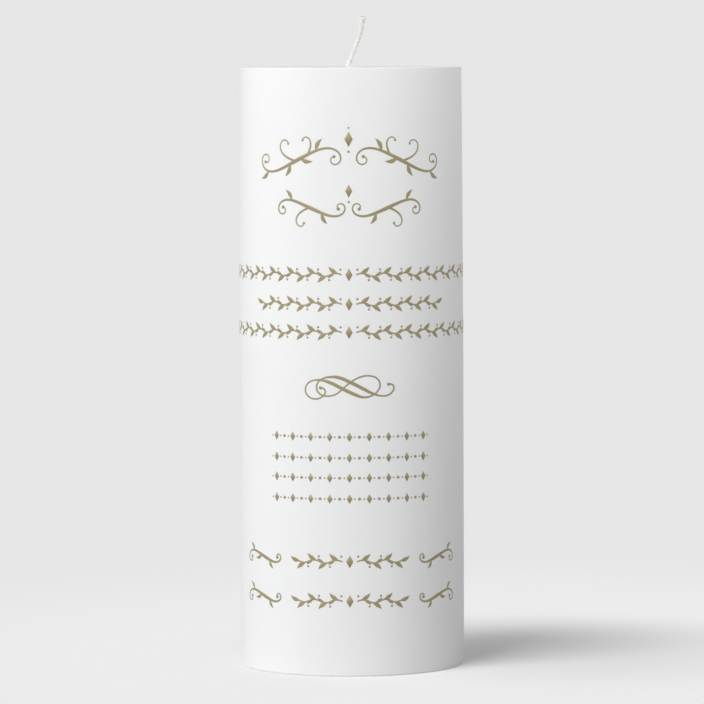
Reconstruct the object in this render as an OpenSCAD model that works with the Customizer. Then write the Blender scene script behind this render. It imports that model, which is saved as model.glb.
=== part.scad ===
// White wedding pillar candle: a pressed wax core in a dipped wax coat, with a cotton
// wick that a stamped metal sustainer holds in the base.
// The core is a true cylinder. The coat drains downwards while it sets, so it is thicker
// at the foot, and the finished pillar narrows a little towards its top.
// The origin is the centre of the base. +Z is up and -Y is the front.

/* [Pillar] */
// Height from the base to the flat top
pillar_h = 203.2; // [80:0.1:260]
// Diameter over the coat at half height
pillar_d = 75.7; // [60:0.1:120]
// How much wider the base is than the top
taper = 1.3; // [0.2:0.1:3]
// Radius of the rounded top edge
rim_r = 0.6; // [0.3:0.1:3]
// Radius of the rounded bottom edge
foot_r = 0.6; // [0.2:0.1:1.4]

/* [Coat] */
// Thickness of the coat at the top of the wall
coat_t = 1.5; // [1:0.1:4]
// Thickness of the coat over the top face
cap_t = 1.6; // [1:0.1:4]
// Height of the wax that climbs the wick where it leaves the top
collar_h = 0.4; // [0.2:0.1:2]
// Width of that wax around the wick, where it meets the top
collar_w = 0.8; // [0.5:0.1:3]
// Thickness of that wax at its upper lip
collar_lip = 0.2; // [0.1:0.05:0.4]

/* [Core] */
// Bevel of the core's pressed top edge
core_bevel = 0.8; // [0.2:0.1:2]
// Width of the flat ring that the core stands on
stand_w = 10; // [6:0.5:12]
// Depth of the dish inside that ring
dish_depth = 1.4; // [1:0.1:4]
// Width of the dish's sloping edge
dish_slope = 3; // [1:0.5:5]

/* [Sustainer] */
// Diameter of the disc
disc_d = 20; // [14:0.5:26]
// Thickness of the stamped sheet
sheet_t = 0.3; // [0.2:0.05:0.5]
// Height of the neck above the disc
neck_h = 7; // [4:0.5:14]
// Gap between the neck's wall and the wick, away from the crimp
neck_gap = 0.35; // [0.2:0.05:0.6]
// Radius of the fillet between the disc and the neck
neck_fillet = 0.6; // [0.3:0.1:1]
// Radius of the round ridge that the crimp presses into the neck
crimp_r = 0.9; // [0.7:0.1:1.4]
// Outer radius of the stiffening bead
bead_r = 0.9; // [0.6:0.1:1.2]
// Distance from the disc's edge to the middle of the bead
bead_inset = 3; // [2:0.1:4]
// Clearance between the sustainer and the wax around it
seat_gap = 0.15; // [0.05:0.05:0.3]

/* [Wick] */
// Diameter of the braided wick
wick_d = 1.9; // [1.4:0.1:3.2]
// Clearance between the wick and its channel in the wax
wick_gap = 0.05; // [0.02:0.01:0.2]
// Distance of the wick's channel from the axis, along X
wick_x = -0.8; // [-3:0.1:3]
// Upright length of wick above the top, before it leans
rise = 0.4; // [0.2:0.1:4]
// Angle that the wick leans from upright above the first bend
lean = 20.5; // [6:0.5:45]
// Length of the leaning stretch
lean_len = 9.6; // [4:0.1:20]
// Radius of the two bends, at the middle of the wick
bend_r = 4; // [3:0.5:12]
// How much the braid swells where it bends, on the radius
bend_swell = 0.03; // [0.02:0.01:0.1]
// Angle by which the second bend straightens the tip
straighten = 8.5; // [0.5:0.5:30]
// Length of the tip, above the second bend
tip_len = 5.3; // [1:0.1:10]

/* [Hidden] */
$fn = 128;
joint_e = 0.01;
bend_lap = 0.15;

base_r = (pillar_d + taper / 2) / 2;
top_r = (pillar_d - taper / 2) / 2;
draft = atan((base_r - top_r) / pillar_h);
core_r = top_r - coat_t;
core_h = pillar_h - cap_t;
dish_r = core_r - stand_w;

wick_r = wick_d / 2;
channel_r = wick_r + wick_gap;
neck_r = wick_r + neck_gap;
neck_outer_r = neck_r + sheet_t;
disc_r = disc_d / 2;
disc_top = dish_depth + sheet_t;
neck_top = disc_top + neck_h;
crimp_z = disc_top + neck_h / 2;

rim_c = round_centre(pillar_h - rim_r, rim_r);
foot_c = round_centre(foot_r, foot_r);
wall_dir = [cos(draft), sin(draft)];

// Radius of the tapered wall at a height
function wall_r(z) = base_r - z * tan(draft);

// Centre, at a height, of an edge round that touches the tapered wall
function round_centre(z, r) = [wall_r(z) - r / cos(draft), z];

// Half section of the finished pillar, with its two rounded edges
module pillar_section() {
    polygon([
        [0, 0], [foot_c.x, 0], foot_c + foot_r * wall_dir,
        rim_c + rim_r * wall_dir, [rim_c.x, pillar_h], [0, pillar_h]
    ]);
    translate(foot_c) circle(foot_r);
    translate(rim_c) circle(rim_r);
}

// Half section of the core, with the shallow dish in its base
module core_section() {
    polygon([
        [0, dish_depth], [dish_r - dish_slope, dish_depth], [dish_r, 0], [core_r, 0],
        [core_r, core_h - core_bevel], [core_r - core_bevel, core_h], [0, core_h]
    ]);
}

// The core's whole envelope, dish and all, which the coat wraps
module core_envelope_section() {
    core_section();
    square([dish_r, dish_depth + joint_e]);
}

// Channel for the wick, through everything above the sustainer
module wick_channel() {
    translate([wick_x, 0, dish_depth]) cylinder(r = channel_r, h = 2 * pillar_h);
}

// Seat for the sustainer: a pocket for the disc, a flare for the fillet, a bore for the neck
module sustainer_seat() {
    bore_r = neck_outer_r + seat_gap;
    translate([wick_x, 0, 0]) {
        cylinder(r = disc_r + seat_gap, h = disc_top);
        cylinder(r = bore_r, h = neck_top + seat_gap);
        translate([0, 0, disc_top - joint_e])
            cylinder(r1 = bore_r + neck_fillet, r2 = bore_r, h = neck_fillet + seat_gap);
    }
}

module wax_core() {
    color("ivory") difference() {
        rotate_extrude() core_section();
        sustainer_seat();
        wick_channel();
    }
}

module wax_coat() {
    color("white") difference() {
        union() {
            rotate_extrude() difference() {
                pillar_section();
                core_envelope_section();
            }
            translate([wick_x, 0, pillar_h - joint_e])
                cylinder(r1 = channel_r + collar_w, r2 = channel_r + collar_lip, h = collar_h);
        }
        wick_channel();
    }
}

// A straight stretch of wick, with what follows it at its far end.
// Its ends reach a little way into the bends beside it.
module run(len, into_before = bend_lap, into_after = bend_lap) {
    translate([0, 0, -into_before]) cylinder(r = wick_r, h = into_before + len + into_after);
    translate([0, 0, len]) children();
}

// A bend of the wick from upright towards +X, with what follows it at its far end
module bend(angle) {
    translate([bend_r, 0, 0]) rotate([90, 0, 0]) rotate([0, 0, 180 - angle])
        rotate_extrude(angle = angle) translate([bend_r, 0]) circle(wick_r + bend_swell);
    translate([bend_r * (1 - cos(angle)), 0, bend_r * sin(angle)])
        rotate([0, angle, 0]) children();
}

module wick() {
    color("linen") translate([wick_x, 0, dish_depth])
        run(pillar_h + rise - dish_depth, into_before = 0) bend(lean)
        run(lean_len) mirror([1, 0, 0]) bend(straighten)
        run(tip_len, into_after = 0);
}

// Half section of the stamped sheet: disc, bead, drawn neck with its fillet, and crimp
module sustainer_section() {
    fillet_c = [neck_outer_r + neck_fillet, disc_top + neck_fillet];
    crimp_in = crimp_r - neck_gap;
    bead_c = [disc_r - bead_inset, disc_top];
    difference() {
        union() {
            translate([neck_r, dish_depth]) square([disc_r - neck_r, sheet_t]);
            translate([neck_r, dish_depth]) square([sheet_t, sheet_t + neck_h]);
            translate([neck_outer_r, disc_top]) square(neck_fillet);
            intersection() {
                translate(bead_c) circle(bead_r);
                translate([0, disc_top - bead_r]) square([disc_r, bead_r]);
            }
            intersection() {
                translate([neck_r + crimp_in, crimp_z]) circle(crimp_r);
                translate([0, disc_top]) square([neck_outer_r, neck_h]);
            }
        }
        translate(bead_c) circle(bead_r - sheet_t);
        translate(fillet_c) circle(neck_fillet);
        translate([neck_outer_r + crimp_in, crimp_z]) circle(crimp_r);
    }
}

module wick_sustainer() {
    color("silver") translate([wick_x, 0, 0]) rotate_extrude() sustainer_section();
}

wax_core();
wax_coat();
wick();
wick_sustainer();
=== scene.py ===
import math
import random

import bmesh
import bpy
from mathutils import Matrix, Vector, noise


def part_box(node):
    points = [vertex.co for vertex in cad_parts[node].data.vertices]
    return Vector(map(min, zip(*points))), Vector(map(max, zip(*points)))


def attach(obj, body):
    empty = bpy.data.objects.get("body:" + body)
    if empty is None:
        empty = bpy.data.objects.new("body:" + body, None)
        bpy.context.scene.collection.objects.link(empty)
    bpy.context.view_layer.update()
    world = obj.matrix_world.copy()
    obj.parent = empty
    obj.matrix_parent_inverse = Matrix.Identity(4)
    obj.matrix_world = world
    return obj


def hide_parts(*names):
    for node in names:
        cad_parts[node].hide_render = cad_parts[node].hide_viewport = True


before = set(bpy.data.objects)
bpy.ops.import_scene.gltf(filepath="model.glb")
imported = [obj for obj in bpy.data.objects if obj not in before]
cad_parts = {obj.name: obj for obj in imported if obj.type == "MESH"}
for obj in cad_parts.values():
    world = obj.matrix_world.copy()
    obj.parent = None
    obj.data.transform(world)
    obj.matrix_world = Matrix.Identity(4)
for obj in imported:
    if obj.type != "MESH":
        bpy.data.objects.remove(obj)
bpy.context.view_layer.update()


# Pressed wax core
# Paraffin powder pressed into a true cylinder, so its base keeps a fine granular skin. The dipped coat
# hides the rest of it. The solid has the right shape and stays.
MM = 0.001
CORE_COLOURS = (0.80, 0.79, 0.75), (0.88, 0.87, 0.84)
CORE_ROUGHNESS = 0.5, 0.75
CORE_FINISH = {"Specular IOR Level": 0.35}
CLOUDS = {"Scale": 120, "Detail": 4}
GRAINS = {"Scale": 900}
GRAIN_BUMP = {"Distance": 0.12 * MM, "Strength": 0.6}


def set_inputs(node, values):
    """Sets a node's sockets by their names."""
    for socket, value in values.items():
        node.inputs[socket].default_value = value


def new_material(name, finish):
    """A new material, its node tree, and its Principled shader with the finish's plain values."""
    material = bpy.data.materials.new(name)
    material.use_nodes = True
    shader = material.node_tree.nodes["Principled BSDF"]
    set_inputs(shader, finish)
    return material, material.node_tree, shader


def texture(tree, kind, values, stretch=(1, 1, 1)):
    """A texture node on the piece's own Object coordinates."""
    coords = tree.nodes.new("ShaderNodeTexCoord")
    mapping = tree.nodes.new("ShaderNodeMapping")
    mapping.inputs["Scale"].default_value = stretch
    tree.links.new(coords.outputs["Object"], mapping.inputs["Vector"])
    node = tree.nodes.new(kind)
    tree.links.new(mapping.outputs["Vector"], node.inputs["Vector"])
    set_inputs(node, values)
    return node


def colour_between(tree, factor, low, high, target):
    """Feeds a socket with a colour that runs from low to high along a factor."""
    ramp = tree.nodes.new("ShaderNodeValToRGB")
    ramp.color_ramp.elements[0].color = (*low, 1)
    ramp.color_ramp.elements[1].color = (*high, 1)
    tree.links.new(factor, ramp.inputs["Fac"])
    tree.links.new(ramp.outputs["Color"], target)


def value_between(tree, factor, low, high, target):
    """Feeds a socket with a number that runs from low to high along a factor."""
    span = tree.nodes.new("ShaderNodeMapRange")
    set_inputs(span, {"To Min": low, "To Max": high})
    tree.links.new(factor, span.inputs["Value"])
    tree.links.new(span.outputs["Result"], target)


def add_bump(tree, height, values, target):
    """A Bump node on a height, whose own Normal input is returned for a second bump to feed."""
    bump = tree.nodes.new("ShaderNodeBump")
    set_inputs(bump, values)
    tree.links.new(height, bump.inputs["Height"])
    tree.links.new(bump.outputs["Normal"], target)
    return bump.inputs["Normal"]


def finish_solid(node, material):
    """Puts a material on a solid that stays."""
    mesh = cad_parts[node].data
    mesh.materials.clear()
    mesh.materials.append(material)


core_wax, tree, shader = new_material("pressed_wax", CORE_FINISH)
grains = texture(tree, "ShaderNodeTexVoronoi", GRAINS)
clouds = texture(tree, "ShaderNodeTexNoise", CLOUDS)
colour_between(tree, clouds.outputs["Fac"], *CORE_COLOURS, shader.inputs["Base Color"])
value_between(tree, grains.outputs["Distance"], *CORE_ROUGHNESS, shader.inputs["Roughness"])
add_bump(tree, grains.outputs["Distance"], GRAIN_BUMP, shader.inputs["Normal"])
finish_solid("wax_core", core_wax)


# Wick sustainer
# A stamped disc of tin-plated steel with a drawn neck, crimped on the wick and pressed into the base.
# The solid has the right shape and stays, under a rolled tin finish.
TIN_COLOURS = (0.56, 0.56, 0.55), (0.70, 0.70, 0.69)
TIN_ROUGHNESS = 0.22, 0.48
TIN_FINISH = {"Metallic": 1}
SPANGLE = {"Scale": 260, "Detail": 2}
ROLLING = {"Scale": 700, "Detail": 6}
ROLLING_STRETCH = (0.06, 1, 1)
ROLLING_BUMP = {"Distance": 0.02 * MM, "Strength": 0.4}

tinplate, tree, shader = new_material("tinplate", TIN_FINISH)
rolling = texture(tree, "ShaderNodeTexNoise", ROLLING, ROLLING_STRETCH)
spangle = texture(tree, "ShaderNodeTexNoise", SPANGLE)
colour_between(tree, spangle.outputs["Fac"], *TIN_COLOURS, shader.inputs["Base Color"])
value_between(tree, rolling.outputs["Fac"], *TIN_ROUGHNESS, shader.inputs["Roughness"])
add_bump(tree, rolling.outputs["Fac"], ROLLING_BUMP, shader.inputs["Normal"])
finish_solid("wick_sustainer", tinplate)


# Wick
# A round braid of cotton strands, three each way, stiff with the wax that fills its grooves. It stands a
# little left of the middle and leans to the right. Its tip is straighter, looser and cut across.
coat_low, coat_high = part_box("wax_coat")
wick_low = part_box("wick")[0]

# How far the wax climbs the wick above the flat top
COLLAR_H = 0.39 * MM
TOP = coat_high.z - COLLAR_H
WICK_X = -0.8 * MM
WICK_R = 0.79 * MM
WICK_SIDES = 60
# Length below the top that is braided as finely as what shows
BURIED = 2 * MM
BURIED_STEP, SHOWN_STEP = 2 * MM, 0.08 * MM
LEAN, STRAIGHTEN = math.radians(21), math.radians(12)
LOW_BEND_R, HIGH_BEND_R = 3 * MM, 14 * MM
LEAN_LEN = 9.7 * MM
TIP_LEN = 4 * MM
STRANDS_EACH_WAY = 3
STRAND_HALF_ARC = math.radians(54)
BRAID_PITCH = 6 * MM
RELIEF = 0.15 * MM
# Share of its height that a strand keeps where it passes under another
UNDER = 0.35
LOOSE_LEN = 5 * MM
LOOSE_SPREAD, LOOSE_RELIEF = 0.25 * MM, 0.05 * MM
CUT_ROUND = 0.2 * MM
WELD = 0.001 * MM
FIBRES = 26
FIBRE_SEED = 7
FIBRE_R = 0.025 * MM
FIBRE_SIDES = 4
FIBRE_ROOT = 0.1 * MM
FIBRE_LENGTHS = 0.25 * MM, 0.6 * MM
FIBRE_KNOTS = 0, 0.5, 1
FIBRE_TAPER = 0.6
# Share of its length that a fibre bows outwards, and the range of that share that chance gives it
FIBRE_BOW = 0.4
BOW_RANGE = 0.3, 1
# Distance that joins a tube to its end caps, as a share of its radius
CAP_SEAM = 0.002
WAXED_COLOURS = (0.765, 0.755, 0.725), (0.825, 0.815, 0.79)
DRY_COLOURS = (0.74, 0.725, 0.695), (0.805, 0.79, 0.76)
DRY_FROM, DRY_TO = 9 * MM, 12.5 * MM
# Colour that the braid's grooves are multiplied by: painted shade where the strands dip under each other
GROOVE_PAINTED_SHADE = (0.82, 0.80, 0.77)
COTTON_TONE = {"Scale": 420, "Detail": 3}
YARN = {"Scale": 2600, "Detail": 5}
YARN_STRETCH = (1, 1, 0.18)
YARN_BUMP = {"Distance": 0.04 * MM, "Strength": 0.6}
COTTON_FINISH = {
    "Roughness": 0.7,
    "Specular IOR Level": 0.25,
    "Subsurface Weight": 1,
    "Subsurface Radius": (1.0, 0.95, 0.85),
    "Subsurface Scale": 2 * MM,
}


def wick_route():
    """Distance, place and lean from upright along the middle of the wick, from its base to its tip."""
    stretches = [
        (TOP - BURIED - wick_low.z, 0, BURIED_STEP), (BURIED, 0, SHOWN_STEP),
        (LOW_BEND_R * LEAN, 1 / LOW_BEND_R, SHOWN_STEP), (LEAN_LEN, 0, SHOWN_STEP),
        (HIGH_BEND_R * STRAIGHTEN, -1 / HIGH_BEND_R, SHOWN_STEP), (TIP_LEN, 0, SHOWN_STEP),
    ]
    place, lean, done = Vector((WICK_X, 0, wick_low.z)), 0, 0
    route = [(done, place.copy(), lean)]
    for length, curvature, step in stretches:
        count = math.ceil(length / step)
        for _ in range(count):
            lean += curvature * length / count / 2
            place += Vector((math.sin(lean), 0, math.cos(lean))) * length / count
            lean += curvature * length / count / 2
            done += length / count
            route.append((done, place.copy(), lean))
    return route


def strand_height(angle, done):
    """How far the braid stands out of its grooves, from 0 to 1, at an angle round the wick."""
    turn = 2 * math.pi * done / BRAID_PITCH
    height = 0
    for way in (1, -1):
        over = 0.5 + 0.5 * way * math.cos(STRANDS_EACH_WAY * turn)
        for strand in range(STRANDS_EACH_WAY):
            middle = way * (turn + 2 * math.pi * strand / STRANDS_EACH_WAY)
            off = math.remainder(angle - middle, 2 * math.pi) / STRAND_HALF_ARC
            if abs(off) < 1:
                height = max(height, math.sqrt(1 - off * off) * (UNDER + (1 - UNDER) * over))
    return height


def outwards(lean, angle):
    """The direction out of a leaning wick, at an angle round it."""
    direction = Vector((math.cos(lean), 0, -math.sin(lean))) * math.cos(angle)
    direction.y = math.sin(angle)
    return direction


def wick_point(done, place, lean, angle):
    """A point on the skin of the braid."""
    loose = max(0, 1 - (wick_len - done) / LOOSE_LEN)
    relief = RELIEF + LOOSE_RELIEF * loose
    radius = WICK_R + LOOSE_SPREAD * loose + relief * (strand_height(angle, done) - 1)
    cut = max(0, 1 - (wick_len - done) / CUT_ROUND)
    radius -= CUT_ROUND * (1 - math.sqrt(1 - cut ** 2))
    return place + outwards(lean, angle) * radius


def new_tubes(name, radius, sides, kind="3D"):
    """An empty curve whose splines become closed tubes."""
    curve = bpy.data.curves.new(name, "CURVE")
    curve.dimensions = kind
    curve.bevel_depth = radius
    curve.bevel_resolution = (sides - 4) // 2
    curve.use_fill_caps = True
    return curve


def tube_mesh(curve):
    """The mesh of a curve's tubes, with their end caps joined on and the curve removed."""
    seam = curve.bevel_depth * CAP_SEAM
    holder = bpy.data.objects.new("holder", curve)
    bpy.context.scene.collection.objects.link(holder)
    graph = bpy.context.evaluated_depsgraph_get()
    mesh = bpy.data.meshes.new_from_object(holder.evaluated_get(graph))
    bpy.data.objects.remove(holder)
    bpy.data.curves.remove(curve)
    bm = bmesh.new()
    bm.from_mesh(mesh)
    bmesh.ops.remove_doubles(bm, verts=bm.verts, dist=seam)
    for face in bm.faces:
        face.smooth = True
    bm.to_mesh(mesh)
    bm.free()
    return mesh


def place_piece(name, mesh, material):
    """A finished piece on the candle, at the origin with its place in its mesh."""
    mesh.name = name
    mesh.materials.clear()
    mesh.materials.append(material)
    piece = bpy.data.objects.new(name, mesh)
    bpy.context.scene.collection.objects.link(piece)
    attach(piece, "root")
    return piece


def ease_over(tree, value, start, end, least=0):
    """A factor that eases from a least share to 1 while a value goes from start to end."""
    ease = tree.nodes.new("ShaderNodeMapRange")
    ease.interpolation_type = "SMOOTHSTEP"
    set_inputs(ease, {"From Min": start, "From Max": end, "To Min": least})
    tree.links.new(value, ease.inputs["Value"])
    return ease.outputs["Result"]


cotton, tree, shader = new_material("braided_cotton", COTTON_FINISH)
tone = texture(tree, "ShaderNodeTexNoise", COTTON_TONE)
dryness = tree.nodes.new("ShaderNodeMixRGB")
colour_between(tree, tone.outputs["Fac"], *WAXED_COLOURS, dryness.inputs["Color1"])
colour_between(tree, tone.outputs["Fac"], *DRY_COLOURS, dryness.inputs["Color2"])
coords = tree.nodes.new("ShaderNodeTexCoord")
position = tree.nodes.new("ShaderNodeSeparateXYZ")
tree.links.new(coords.outputs["Object"], position.inputs["Vector"])
dry = ease_over(tree, position.outputs["Z"], TOP + DRY_FROM, TOP + DRY_TO)
tree.links.new(dry, dryness.inputs["Fac"])
# Painted shade: the deeper a point lies in the braid's grooves, the darker its colour
groove_depth = tree.nodes.new("ShaderNodeAttribute")
groove_depth.attribute_name = "groove"
grooves = tree.nodes.new("ShaderNodeMixRGB")
grooves.blend_type = "MULTIPLY"
grooves.inputs["Color2"].default_value = (*GROOVE_PAINTED_SHADE, 1)
tree.links.new(groove_depth.outputs["Fac"], grooves.inputs["Fac"])
tree.links.new(dryness.outputs["Color"], grooves.inputs["Color1"])
tree.links.new(grooves.outputs["Color"], shader.inputs["Base Color"])
yarn = texture(tree, "ShaderNodeTexNoise", YARN, YARN_STRETCH)
add_bump(tree, yarn.outputs["Fac"], YARN_BUMP, shader.inputs["Normal"])

route = wick_route()
wick_len, end_place, end_lean = route[-1]
last_ring = len(route) - 1
bm = bmesh.new()
bmesh.ops.create_grid(bm, x_segments=WICK_SIDES, y_segments=last_ring, size=1)
groove = bm.verts.layers.float.new("groove")
for vert in bm.verts:
    done, place, lean = route[round((vert.co.y + 1) / 2 * last_ring)]
    angle = math.pi * (vert.co.x + 1)
    vert.co = wick_point(done, place, lean, angle)
    vert[groove] = 1 - strand_height(angle, done)
bmesh.ops.remove_doubles(bm, verts=bm.verts, dist=WELD)
for face in bm.faces:
    face.smooth = True
bmesh.ops.holes_fill(bm, edges=[edge for edge in bm.edges if edge.is_boundary], sides=0)
bmesh.ops.recalc_face_normals(bm, faces=bm.faces)

chance = random.Random(FIBRE_SEED)
fibres = new_tubes("wick_fibres", FIBRE_R, FIBRE_SIDES)
along = Vector((math.sin(end_lean), 0, math.cos(end_lean)))
for _ in range(FIBRES):
    across = outwards(end_lean, chance.uniform(0, 2 * math.pi))
    out = WICK_R * math.sqrt(chance.random())
    root = end_place + across * out - along * FIBRE_ROOT
    length = chance.uniform(*FIBRE_LENGTHS)
    spline = fibres.splines.new("POLY")
    spline.points.add(len(FIBRE_KNOTS) - 1)
    for knot, share in zip(spline.points, FIBRE_KNOTS):
        bow = across * FIBRE_BOW * length * share ** 2 * chance.uniform(*BOW_RANGE)
        knot.co = (*(root + along * length * share + bow), 1)
        knot.radius = 1 - FIBRE_TAPER * share
fibre_mesh = tube_mesh(fibres)
bm.from_mesh(fibre_mesh)
bpy.data.meshes.remove(fibre_mesh)
wick_mesh = bpy.data.meshes.new("wick_braid")
bm.to_mesh(wick_mesh)
bm.free()
wick = place_piece("wick_braid", wick_mesh, cotton)
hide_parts("wick")


# Wax coat
# White wax that the core was dipped in. It drained as it set, so the wall is thicker at the foot, the top
# edge is softly rounded, and a little wax climbs the wick. It is smooth, satin and slightly see-through.
BASE_R = (coat_high.x - coat_low.x) / 2
TAPER = 1.3 * MM
TOP_R = BASE_R - TAPER / 2
# Power of the height by which the wall narrows, so that it stays full to well above the middle
FULLNESS = 3
COAT_T = 1.5 * MM
CAP_T = 1.6 * MM
CORE_FIT = 0.03 * MM
RIM_R = 0.35 * MM
FOOT_R = 0.6 * MM
EDGE_SEGMENTS = 8
ROUND_STEPS = 256
WALL_RINGS = 90
RING_NEAR = 0.01 * MM
RIPPLE = 0.05 * MM
RIPPLES_ROUND = 1.7
RIPPLE_LEN = 55 * MM
WELL_R = 6 * MM
CHANNEL_R = WICK_R
# Distance from the channel and height above the top, from the collar's foot to its lip and down inside
COLLAR = (
    (1.6 * MM, 0), (0.8 * MM, 0.02 * MM), (0.44 * MM, 0.2 * COLLAR_H), (0.24 * MM, 0.5 * COLLAR_H),
    (0.2 * MM, COLLAR_H), (0, 0.9 * COLLAR_H),
)
WAX_COLOURS = (0.875, 0.878, 0.878), (0.905, 0.908, 0.908)
WAX_ROUGHNESS = 0.46, 0.62
BLOOM = {"Scale": 46, "Detail": 5}
SKIN = {"Scale": 1500, "Detail": 3}
SKIN_BUMP = {"Distance": 0.03 * MM, "Strength": 0.25}
DRAINS = {"Scale": 90, "Detail": 2}
DRAIN_STRETCH = (1, 1, 0.25)
DRAIN_BUMP = {"Distance": 0.2 * MM, "Strength": 0.12}
WAX_FINISH = {
    "IOR": 1.44,
    "Specular IOR Level": 0.2,
    "Subsurface Weight": 0.25,
    "Subsurface Radius": (1.0, 0.95, 0.88),
    "Subsurface Scale": 0.5 * MM,
}


def wall_radius(angle, height):
    """Radius of the coat's full wall, with the faint ripples that draining wax leaves."""
    spot = math.cos(angle) * RIPPLES_ROUND, math.sin(angle) * RIPPLES_ROUND, height / RIPPLE_LEN
    return BASE_R - (TAPER / 2) * (height / TOP) ** FULLNESS + RIPPLE * noise.noise(Vector(spot))


def spin_profile(bm, profile, centre):
    """Turns a chain of (radius, height) points round an upright axis."""
    chain = [bm.verts.new((centre + radius, 0, height)) for radius, height in profile]
    links = [bm.edges.new(pair) for pair in zip(chain, chain[1:])]
    bmesh.ops.spin(
        bm, geom=chain + links, cent=(centre, 0, 0), axis=(0, 0, 1), angle=2 * math.pi,
        steps=ROUND_STEPS, use_merge=True, use_duplicate=False,
    )


def ring_edges(bm, centre, radius, height):
    """The edges of one turned ring."""
    def on_ring(vert):
        spread = math.hypot(vert.co.x - centre, vert.co.y)
        return abs(spread - radius) < RING_NEAR and abs(vert.co.z - height) < RING_NEAR
    return [edge for edge in bm.edges if all(on_ring(vert) for vert in edge.verts)]


coat_wax, tree, shader = new_material("dipped_wax", WAX_FINISH)
bloom = texture(tree, "ShaderNodeTexNoise", BLOOM)
skin = texture(tree, "ShaderNodeTexNoise", SKIN)
drains = texture(tree, "ShaderNodeTexNoise", DRAINS, DRAIN_STRETCH)
colour_between(tree, bloom.outputs["Fac"], *WAX_COLOURS, shader.inputs["Base Color"])
value_between(tree, bloom.outputs["Fac"], *WAX_ROUGHNESS, shader.inputs["Roughness"])
under_skin = add_bump(tree, skin.outputs["Fac"], SKIN_BUMP, shader.inputs["Normal"])
add_bump(tree, drains.outputs["Fac"], DRAIN_BUMP, under_skin)

core_r = TOP_R - COAT_T + CORE_FIT
cap_z = TOP - CAP_T + CORE_FIT
mid_coat_r = TOP_R - COAT_T / 2
collar = [(CHANNEL_R + out, TOP + rise) for out, rise in COLLAR]
bm = bmesh.new()
spin_profile(bm, [
    (WELL_R, TOP), (TOP_R - 2 * RIM_R, TOP), (TOP_R, TOP), (BASE_R, 0), (core_r, 0),
    (core_r, cap_z), (WELL_R, cap_z),
], 0)
spin_profile(bm, collar + [(CHANNEL_R, cap_z)], WICK_X)
for radius, height in (collar[0], (CHANNEL_R, cap_z)):
    rings = ring_edges(bm, WICK_X, radius, height) + ring_edges(bm, 0, WELL_R, height)
    bmesh.ops.triangle_fill(bm, edges=rings, use_beauty=True, normal=(0, 0, 1))
for radius, height, round_r in ((TOP_R, TOP, RIM_R), (BASE_R, 0, FOOT_R)):
    bmesh.ops.bevel(
        bm, geom=ring_edges(bm, 0, radius, height), offset=round_r, offset_type="OFFSET",
        segments=EDGE_SEGMENTS, profile=0.5, affect="EDGES", material=-1,
    )
wall = [
    edge for edge in bm.edges
    if edge.calc_length() > TOP / 2 and min(vert.co.xy.length for vert in edge.verts) > mid_coat_r
]
bmesh.ops.subdivide_edges(bm, edges=wall, cuts=WALL_RINGS, use_grid_fill=True)
bmesh.ops.recalc_face_normals(bm, faces=bm.faces)
for vert in bm.verts:
    if vert.co.xy.length > mid_coat_r:
        angle = math.atan2(vert.co.x, -vert.co.y)
        straight = BASE_R - (TAPER / 2) * vert.co.z / TOP
        vert.co.xy *= wall_radius(angle, vert.co.z) / straight
for face in bm.faces:
    face.smooth = True
coat_mesh = bpy.data.meshes.new("wax_coat_dipped")
bm.to_mesh(coat_mesh)
bm.free()
coat = place_piece("wax_coat_dipped", coat_mesh, coat_wax)
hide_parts("wax_coat")


# Gold heading
# The print is flat gold ink, laid on the front of the wall in one thin film that stands hardly proud.
# Its heading is two pairs of pen scrolls, with leaves and tendrils, that face each other at lozenges.
INK_COLOURS = (0.285, 0.24, 0.128), (0.37, 0.318, 0.178)
INK_ROUGHNESS = 0.34, 0.6
INK_FINISH = {"Metallic": 0.15}
COVER = {"Scale": 300, "Detail": 3}
FLAKES = {"Scale": 5200, "Detail": 2}
FLAKE_BUMP = {"Distance": 0.01 * MM, "Strength": 0.5}
# Share of a stroke's half width by which it stands proud
INK_FLATNESS = 0.1
MID_R = (BASE_R + TOP_R) / 2
PRINT_TURN = -0.75 * MM
STROKE_SIDES = 12
STROKE_STEPS = 4
# Widths of the pen, in the drawings' millimetres
THIN, THICK, TENDRIL = 0.42, 1.3, 0.8
CURL_STEPS = 24
# Powers of the way along an arm by which it thins and winds up
THINNING = 1.6
ARM_HOLD, TENDRIL_HOLD = 2.6, 1.6
ARM_DOT, TENDRIL_DOT = 2.8 * THIN, 2.2 * THIN
# Width and bow of a scroll's leaf, as shares of its length
LEAF_W, LEAF_BOW = 0.33, 0.12
# Half turns at which a dot's width is taken, and shares of the length and width of a lozenge and a leaf
DOT_TURNS = 0.06, 0.25, 0.5, 0.75, 0.94
LOZENGE_FORM = (-0.5, 0.02), (0, 1), (0.5, 0.02)
LEAF_FORM = (0, 0.16), (0.22, 0.68), (0.48, 1), (0.76, 0.58), (1, 0.05)
BIG_LOZENGE, MIDDLE_LOZENGE = (2.8, 5), (2.4, 4.2)
HEADING_LOZENGES = (179.4, BIG_LOZENGE), (162.2, MIDDLE_LOZENGE)
HEADING_DOTS = (183.2, 0.7), (175.3, 0.9), (158.6, 0.8)
# An arm is its length and turn. A leaf is its arm, its share of the arm, angle and length, and a tendril
# has a turn as well.
HEADING_SCROLLS = (
    {
        "along": 17.6, "height": 172.6, "slope": -26, "left": (24.5, 0.92), "right": (26.5, 0.93),
        "leaves": (
            ("left", 0.06, 38, 4.6), ("left", 0.3, -40, 4.6),
            ("right", 0.14, -38, 4.6), ("right", 0.5, -42, 4.4),
        ),
        "tendrils": (("left", 0.16, -42, 8.5, -1), ("right", 0.04, 44, 13.5, 0.78)),
    },
    {
        "along": 12.6, "height": 156.4, "slope": 23, "left": (18, -1.12), "right": (21, -1.08),
        "leaves": (("left", 0.22, 40, 4.2), ("right", 0.36, 42, 4.2)),
        "tendrils": (("right", 0.05, -46, 11.5, -0.9),),
    },
)

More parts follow.
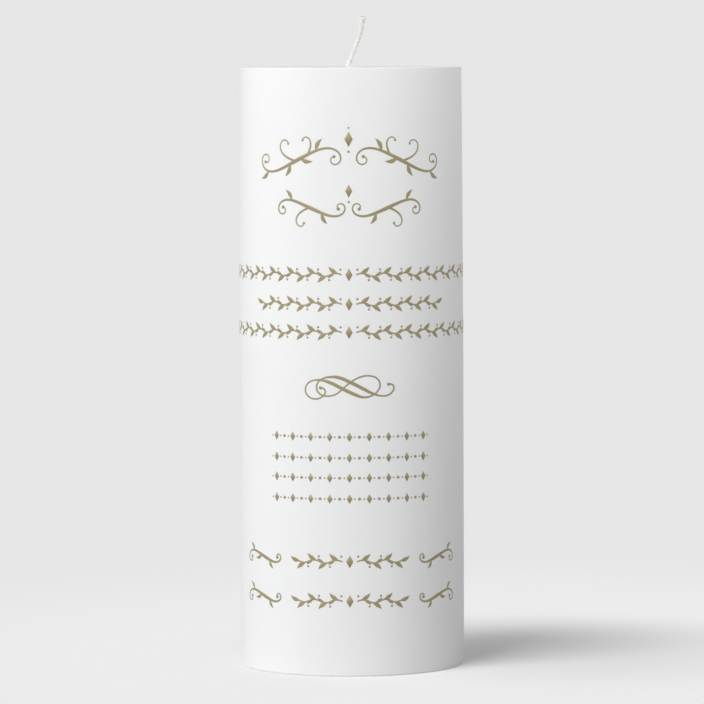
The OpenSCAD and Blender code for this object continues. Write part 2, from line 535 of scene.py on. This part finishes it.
gold_ink, tree, shader = new_material("gold_ink", INK_FINISH)
flakes = texture(tree, "ShaderNodeTexNoise", FLAKES)
cover = texture(tree, "ShaderNodeTexNoise", COVER)
colour_between(tree, cover.outputs["Fac"], *INK_COLOURS, shader.inputs["Base Color"])
value_between(tree, flakes.outputs["Fac"], *INK_ROUGHNESS, shader.inputs["Roughness"])
add_bump(tree, flakes.outputs["Fac"], FLAKE_BUMP, shader.inputs["Normal"])


def new_drawing(name):
    """An empty sheet for pen strokes, in millimetres along the wall and up it."""
    drawing = new_tubes(name, 1, STROKE_SIDES, "2D")
    drawing.fill_mode = "NONE"
    drawing.resolution_u = STROKE_STEPS
    return drawing


def stroke(drawing, points, mirror=False):
    """One pen stroke through points of place along the wall, height and width, and its mirror image."""
    for side in (1, -1) if mirror else (1,):
        spline = drawing.splines.new("BEZIER")
        spline.bezier_points.add(len(points) - 1)
        for knot, (along, height, width, *_) in zip(spline.bezier_points, points):
            knot.handle_left_type = knot.handle_right_type = "AUTO"
            knot.co = (side * along, height, 0)
            knot.radius = width / 2


def dot(drawing, along, height, size, mirror=False):
    """A round dot of ink."""
    points = []
    for turn in DOT_TURNS:
        across = along - size / 2 * math.cos(math.pi * turn)
        points.append((across, height, size * math.sin(math.pi * turn)))
    stroke(drawing, points, mirror)


def lozenge(drawing, along, height, wide, tall, mirror=False):
    """An upright lozenge, as two straight tapers from its middle."""
    for side in (1, -1) if mirror else (1,):
        spline = drawing.splines.new("POLY")
        spline.points.add(len(LOZENGE_FORM) - 1)
        for knot, (rise, fullness) in zip(spline.points, LOZENGE_FORM):
            knot.co = (side * along, height + rise * tall, 0, 1)
            knot.radius = fullness * wide / 2


def leaf(drawing, along, height, angle, length, width, bow):
    """A pointed leaf that grows from a point at an angle, bowed to one side, and its mirror image."""
    points = []
    for share, fullness in LEAF_FORM:
        out, aside = share * length, bow * length * math.sin(math.pi * share)
        points.append((
            along + math.cos(angle) * out - math.sin(angle) * aside,
            height + math.sin(angle) * out + math.cos(angle) * aside,
            width * fullness,
        ))
    stroke(drawing, points, mirror=True)


def curl(along, height, heading, length, turn, thick, hold):
    """Points, with headings, of an arm that starts broad, holds its course and winds up at a thin end."""
    step = length / CURL_STEPS
    points = []
    for i in range(CURL_STEPS + 1):
        width = THIN + (thick - THIN) * (1 - i / CURL_STEPS) ** THINNING
        points.append((along, height, width, heading))
        heading += turn * ((i + 0.5) / CURL_STEPS) ** hold * step
        along += math.cos(heading) * step
        height += math.sin(heading) * step
    return points


def scroll(drawing, along, height, slope, left, right, leaves, tendrils=(), thick=THICK):
    """A pair of pen scrolls, each of two arms that curl up to a dot, with leaves and tendrils."""
    slope = math.radians(slope)
    arms = {
        "left": curl(along, height, slope + math.pi, *left, thick, ARM_HOLD),
        "right": curl(along, height, slope, *right, thick, ARM_HOLD),
    }
    line = arms["left"][:0:-1] + arms["right"]
    stroke(drawing, line, mirror=True)
    for end in (line[0], line[-1]):
        dot(drawing, end[0], end[1], ARM_DOT, mirror=True)
    for arm, share, angle, length in leaves:
        x, z, _, heading = arms[arm][round(share * CURL_STEPS)]
        bow = math.copysign(LEAF_BOW, angle)
        leaf(drawing, x, z, heading + math.radians(angle), length, LEAF_W * length, bow)
    for arm, share, angle, length, turn in tendrils:
        x, z, _, heading = arms[arm][round(share * CURL_STEPS)]
        line = curl(x, z, heading + math.radians(angle), length, turn, TENDRIL, TENDRIL_HOLD)
        stroke(drawing, line, mirror=True)
        dot(drawing, line[-1][0], line[-1][1], TENDRIL_DOT, mirror=True)


def print_on_wall(name, drawing):
    """Wraps a drawing round the wall as a thin film of ink."""
    mesh = tube_mesh(drawing)
    for vert in mesh.vertices:
        along, height, proud = vert.co * MM
        angle = (along + PRINT_TURN) / MID_R
        radius = wall_radius(angle, height) + proud * INK_FLATNESS
        vert.co = (radius * math.sin(angle), -radius * math.cos(angle), height)
    place_piece(name, mesh, gold_ink)


heading_print = new_drawing("print_heading")
for sizes in HEADING_SCROLLS:
    scroll(heading_print, **sizes)
for height, size in HEADING_LOZENGES:
    lozenge(heading_print, 0, height, *size)
for height, size in HEADING_DOTS:
    dot(heading_print, 0, height, size)
print_on_wall("print_heading", heading_print)


# Gold garlands
# Three rows of a leafy vine, in the same film of ink, that spread from a lozenge at the front. The first
# and third run on round both sides.
GARLANDS = (134.4, 15), (124.6, 8), (115.2, 15)
VINE_START = 2.4
VINE_PITCH = 7.6
VINE_WAVE = 0.5
VINE_W = 0.5
KNOTS_PER_CREST = 4
VINE_LEAF, SMALL_LEAF = (3.7, 1.45), (2.7, 1.15)
VINE_LEAF_LEAN = math.radians(36)
VINE_LEAF_BOW, END_LEAF_BOW = 0.08, 0.1
# Where leaves and berries grow, from a crest or the end of the stem and up from the row's middle
LEAF_BEFORE, SMALL_LEAF_PAST, END_LEAF_BEFORE = 0.5, 0.6, 0.3
SMALL_LEAF_UP = 0.4
BERRY = 0.8
BERRY_BEFORE, BERRY_UP = 1.5, 1.75


def garland(drawing, height, crests):
    """A lozenge and a pair of waving stems, with leaves and a berry at each crest, that end in a leaf."""
    lozenge(drawing, 0, height, *MIDDLE_LOZENGE)
    length = VINE_PITCH * crests / 2
    wave_angle = 2 * math.pi / VINE_PITCH
    knots = KNOTS_PER_CREST * crests
    stem = []
    for i in range(knots + 1):
        along = length * i / knots
        stem.append((VINE_START + along, height + VINE_WAVE * math.sin(wave_angle * along), VINE_W))
    stroke(drawing, stem, mirror=True)
    for i in range(crests):
        way = 1 if i % 2 == 0 else -1
        crest = VINE_START + VINE_PITCH * (0.25 + i / 2)
        top = height + way * VINE_WAVE
        leaf(drawing, crest - LEAF_BEFORE, top, way * VINE_LEAF_LEAN, *VINE_LEAF, -way * VINE_LEAF_BOW)
        dot(drawing, crest - BERRY_BEFORE, height + way * BERRY_UP, BERRY, mirror=True)
        if i < crests - 1:
            root = crest + SMALL_LEAF_PAST, height + way * SMALL_LEAF_UP
            leaf(drawing, *root, -way * VINE_LEAF_LEAN, *SMALL_LEAF, way * VINE_LEAF_BOW)
    end = VINE_START + length - END_LEAF_BEFORE
    end_angle = -way * math.atan(VINE_WAVE * wave_angle)
    leaf(drawing, end, height, end_angle, *VINE_LEAF, way * END_LEAF_BOW)


garland_print = new_drawing("print_garlands")
for height, crests in GARLANDS:
    garland(garland_print, height, crests)
print_on_wall("print_garlands", garland_print)


# Gold centre scroll
# One unbroken pen line in the same ink. It curls, sweeps down to the right, loops back over itself, sweeps
# down again and ends in a small curl. The two long sweeps are broad and the rest is fine.
CENTRE_Z = 97
FINE, BROAD = 0.56, 1.15
# Size of the dot at either end, as a share of the line's width there
END_DOT = 1.3
# Place along the wall, height above the scroll's middle, and width
CENTRE_LINE = (
    (-9.7, -0.3, 0.9), (-8.7, -0.5, 0.55), (-8, -1.4, FINE), (-8.4, -2.6, FINE), (-9.9, -3.7, FINE),
    (-12, -4, FINE), (-14.1, -3, FINE), (-15, -0.9, FINE), (-14, 1.2, FINE), (-11.9, 2.2, FINE),
    (-9.5, 2.3, 0.7), (-6.7, 1.6, BROAD), (-2.1, -0.6, BROAD), (1.9, -2.5, BROAD), (4.7, -3.4, 0.75),
    (7.2, -3, FINE), (9.4, -1.5, FINE), (10.3, 0.8, FINE), (9.3, 2.8, FINE), (7.1, 3.7, FINE),
    (4.4, 3.6, FINE), (1.6, 2.4, FINE), (-1.7, -0.1, FINE), (-4.5, -2.4, FINE), (-7.6, -3, FINE),
    (-9.9, -2.3, FINE), (-11, -0.5, FINE), (-10.6, 1.4, FINE), (-8.9, 2.8, FINE), (-6.1, 3.4, 0.8),
    (-3.5, 3.2, BROAD), (0.6, 1.5, BROAD), (4.7, -0.6, BROAD), (7.6, -2.1, 0.9), (10.7, -3, FINE),
    (13, -2.8, FINE), (14.4, -1.9, FINE), (15.1, -0.7, FINE), (15, 0.2, FINE), (14.2, 0.8, 0.55),
    (13.2, 0.8, 0.85),
)

centre_print = new_drawing("print_centre_scroll")
stroke(centre_print, [(along, CENTRE_Z + rise, width) for along, rise, width in CENTRE_LINE])
for along, rise, width in (CENTRE_LINE[0], CENTRE_LINE[-1]):
    dot(centre_print, along, CENTRE_Z + rise, END_DOT * width)
print_on_wall("print_centre_scroll", centre_print)


# Gold bead rows
# Four short rows of lozenges in the same ink, with three beads between each two and one at either end.
# They are part of the same print and stand below the centre scroll.
BEAD_ROWS = 80.3, 73.3, 66.6, 59.6
BEAD_PITCH = 6.6
LOZENGES_EACH_SIDE = 4
SMALL_LOZENGE = 1.9, 3.1
# Share of the pitch and size
BEADS = (0.26, 0.6), (0.5, 1.05), (0.74, 0.6)

bead_print = new_drawing("print_bead_rows")
for height in BEAD_ROWS:
    lozenge(bead_print, 0, height, *SMALL_LOZENGE)
    for i in range(LOZENGES_EACH_SIDE):
        lozenge(bead_print, BEAD_PITCH * (i + 1), height, *SMALL_LOZENGE, mirror=True)
        for share, size in BEADS:
            dot(bead_print, BEAD_PITCH * (i + share), height, size, mirror=True)
    share, size = BEADS[0]
    dot(bead_print, BEAD_PITCH * (LOZENGES_EACH_SIDE + share), height, size, mirror=True)
print_on_wall("print_bead_rows", bead_print)


# Gold closing rows
# Two rows of the same vine, in the same ink, near the foot. A leafy pen scroll closes each row at both
# ends, where the wall turns away.
CLOSING_ROWS = 38.6, 25.3
CLOSING_CRESTS = 4
CLOSING_SCROLL_UP = 0.3
CLOSING_SCROLL = {
    "along": 32.2, "slope": 20, "left": (11.5, -1.7), "right": (15.5, -1.25), "thick": 1.2,
    "leaves": (("left", 0.2, 40, 3.4), ("right", 0.14, -40, 3.6), ("right", 0.4, 42, 3.4)),
}

closing_print = new_drawing("print_closing_rows")
for height in CLOSING_ROWS:
    garland(closing_print, height, CLOSING_CRESTS)
    scroll(closing_print, height=height + CLOSING_SCROLL_UP, **CLOSING_SCROLL)
print_on_wall("print_closing_rows", closing_print)


# Floor
# A plain pale surface that fades into the studio's background away from the candle and its shadow. It
# throws less light back up than it shows, so that the foot of the wall isn't brightened.
BACKDROP = (0.795, 0.795, 0.795)
FLOOR_COLOUR = (0.92, 0.92, 0.92)
BOUNCE_COLOUR = (0.7, 0.7, 0.7)
FLOOR_GLOW = (0.838, 0.838, 0.838)
FLOOR_FINISH = {"Roughness": 1, "Specular IOR Level": 0}
FLOOR_R = 12
FLOOR_SIDES = 96
FADE_CENTRE = (0.06, 0.018, 0)
FADE_FROM, FADE_TO = 0.02, 0.13
LEAST_GLOW = 0.06
FAR_FROM, FAR_TO = 0.15, 0.32


def seen_directly(tree):
    """A factor of 1 for rays that come from the camera, a mirror or glass, and 0 for the rest."""
    rays = tree.nodes.new("ShaderNodeLightPath")
    total = rays.outputs["Is Camera Ray"]
    for kind in ("Is Glossy Ray", "Is Transmission Ray"):
        add = tree.nodes.new("ShaderNodeMath")
        add.operation = "ADD"
        add.use_clamp = True
        tree.links.new(total, add.inputs[0])
        tree.links.new(rays.outputs[kind], add.inputs[1])
        total = add.outputs["Value"]
    return total


floor_paint, tree, shader = new_material("studio_floor", FLOOR_FINISH)
shown = seen_directly(tree)
colour_between(tree, shown, BOUNCE_COLOUR, FLOOR_COLOUR, shader.inputs["Base Color"])
coords = tree.nodes.new("ShaderNodeTexCoord")
distance = tree.nodes.new("ShaderNodeVectorMath")
distance.operation = "DISTANCE"
distance.inputs[1].default_value = FADE_CENTRE
tree.links.new(coords.outputs["Object"], distance.inputs[0])
glow = tree.nodes.new("ShaderNodeEmission")
far = ease_over(tree, distance.outputs["Value"], FAR_FROM, FAR_TO)
colour_between(tree, far, FLOOR_GLOW, BACKDROP, glow.inputs["Color"])
fade = ease_over(tree, distance.outputs["Value"], FADE_FROM, FADE_TO, LEAST_GLOW)
glow_share = tree.nodes.new("ShaderNodeMath")
glow_share.operation = "MULTIPLY"
tree.links.new(fade, glow_share.inputs[0])
tree.links.new(shown, glow_share.inputs[1])
mix = tree.nodes.new("ShaderNodeMixShader")
tree.links.new(glow_share.outputs["Value"], mix.inputs["Fac"])
tree.links.new(shader.outputs["BSDF"], mix.inputs[1])
tree.links.new(glow.outputs["Emission"], mix.inputs[2])
tree.links.new(mix.outputs["Shader"], tree.nodes["Material Output"].inputs["Surface"])

bm = bmesh.new()
bmesh.ops.create_circle(bm, cap_ends=True, segments=FLOOR_SIDES, radius=FLOOR_R)
floor_mesh = bpy.data.meshes.new("floor")
bm.to_mesh(floor_mesh)
bm.free()
floor_mesh.materials.append(floor_paint)
floor = bpy.data.objects.new("floor", floor_mesh)
bpy.context.scene.collection.objects.link(floor)


# Studio light
# A large key and a side light at the left throw the shadow back to the right. A small box near the right
# side and a low one behind only lift the dark sides, so they throw no shadow and aren't mirrored.
ROOM = (0.01, 0.01, 0.01)
SOFT_BOXES = (
    {"name": "key", "power": 29, "size": 1.2, "away": 1.8, "left": 38, "up": 36, "shadow": True},
    {"name": "side", "power": 5.4, "size": 1, "away": 1.8, "left": 100, "up": 20, "shadow": True},
    {"name": "right", "power": 0.55, "size": 0.25, "away": 0.38, "left": -64, "up": 37, "shadow": False},
    {"name": "behind", "power": 9, "size": 0.5, "away": 1.8, "left": 175, "up": 5, "shadow": False},
)

world = bpy.data.worlds.new("studio")
bpy.context.scene.world = world
world.use_nodes = True
tree = world.node_tree
room = tree.nodes["Background"]
room.inputs["Color"].default_value = (*ROOM, 1)
backdrop = tree.nodes.new("ShaderNodeBackground")
backdrop.inputs["Color"].default_value = (*BACKDROP, 1)
mix = tree.nodes.new("ShaderNodeMixShader")
tree.links.new(seen_directly(tree), mix.inputs["Fac"])
tree.links.new(room.outputs["Background"], mix.inputs[1])
tree.links.new(backdrop.outputs["Background"], mix.inputs[2])
tree.links.new(mix.outputs["Shader"], tree.nodes["World Output"].inputs["Surface"])

for box in SOFT_BOXES:
    light = bpy.data.lights.new(box["name"], "AREA")
    light.energy = box["power"]
    light.size = box["size"]
    light.use_shadow = box["shadow"]
    turn = (
        Matrix.Rotation(math.radians(-box["left"]), 4, "Z")
        @ Matrix.Rotation(math.radians(90 - box["up"]), 4, "X")
    )
    lamp = bpy.data.objects.new(box["name"], light)
    lamp.matrix_world = Matrix.Translation((0, 0, TOP / 2)) @ turn @ Matrix.Translation((0, 0, box["away"]))
    lamp.visible_glossy = box["shadow"]
    bpy.context.scene.collection.objects.link(lamp)


# Camera
# A long lens, just above the candle's top and tipped a little down, so the top is seen almost edge on and
# the foot as a shallow curve. The slight roll is the photograph's own.
LENS, SENSOR_W = 240.7, 36
CAMERA_AWAY = 1600 * MM
CAMERA_RIGHT = 0.19 * MM
CAMERA_ABOVE_TOP = 8 * MM
CAMERA_DOWN = math.radians(3.753)
CAMERA_ROLL = math.radians(0.17)

camera_data = bpy.data.cameras.new("camera")
camera_data.lens = LENS
camera_data.sensor_width = SENSOR_W
camera = bpy.data.objects.new("camera", camera_data)
camera.matrix_world = (
    Matrix.Translation((CAMERA_RIGHT, -CAMERA_AWAY, TOP + CAMERA_ABOVE_TOP))
    @ Matrix.Rotation(math.pi / 2 - CAMERA_DOWN, 4, "X")
    @ Matrix.Rotation(-CAMERA_ROLL, 4, "Z")
)
bpy.context.scene.collection.objects.link(camera)
bpy.context.scene.camera = camera
bpy.context.scene.view_settings.view_transform = "Standard"
